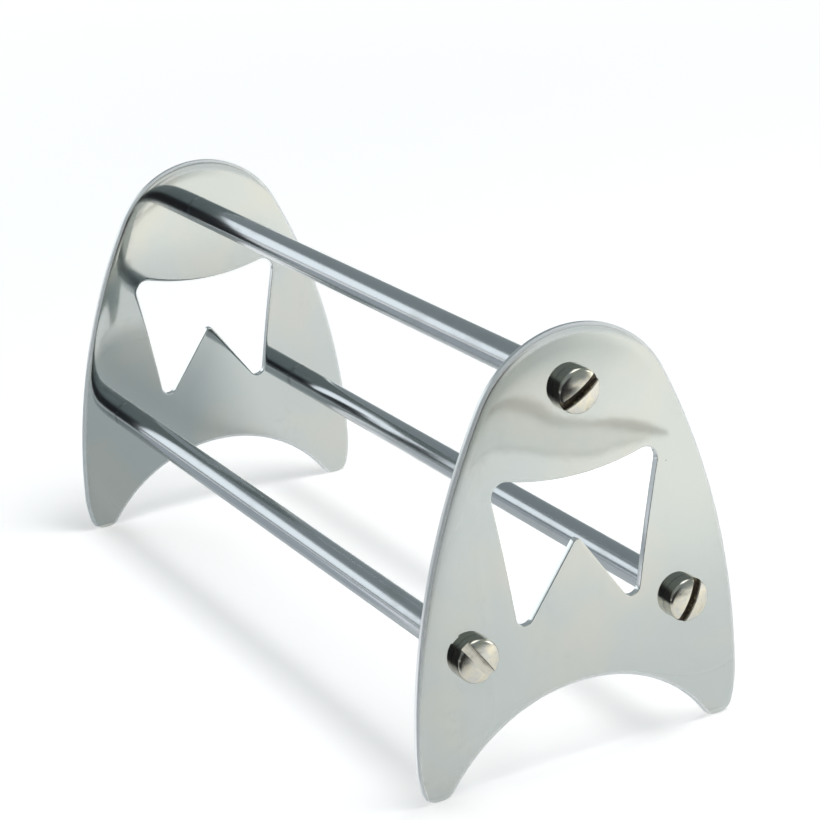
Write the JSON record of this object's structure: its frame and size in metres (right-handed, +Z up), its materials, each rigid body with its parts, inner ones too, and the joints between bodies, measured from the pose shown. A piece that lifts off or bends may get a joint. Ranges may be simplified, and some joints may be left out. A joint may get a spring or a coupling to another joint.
{
  "type": "instrument stringer",
  "caption": "Open rack that holds hinged dental instruments upright: contoured end plates with a tooth-shaped window, joined by round rods held with slotted screws.",
  "frame": {"origin": "on the ground, midway between the end plates and midway between the low rods", "axes": "+X along the rods, +Z up, +Y across the feet"},
  "size_m": [0.1946, 0.0808, 0.0976],
  "materials": {
    "plate_steel": "mirror-polished stainless sheet",
    "rod_steel": "bright polished stainless bar with fine turning lines",
    "screw_steel": "polished nickel-toned screw heads"
  },
  "bodies": {
    "root": {"right_end_plate": "plate_steel", "left_end_plate": "plate_steel", "top_rod": "rod_steel", "front_rod": "rod_steel", "rear_rod": "rod_steel", "right_top_screw": "screw_steel", "right_front_screw": "screw_steel", "right_rear_screw": "screw_steel", "left_top_screw": "screw_steel", "left_front_screw": "screw_steel", "left_rear_screw": "screw_steel"}
  },
  "joints": []
}
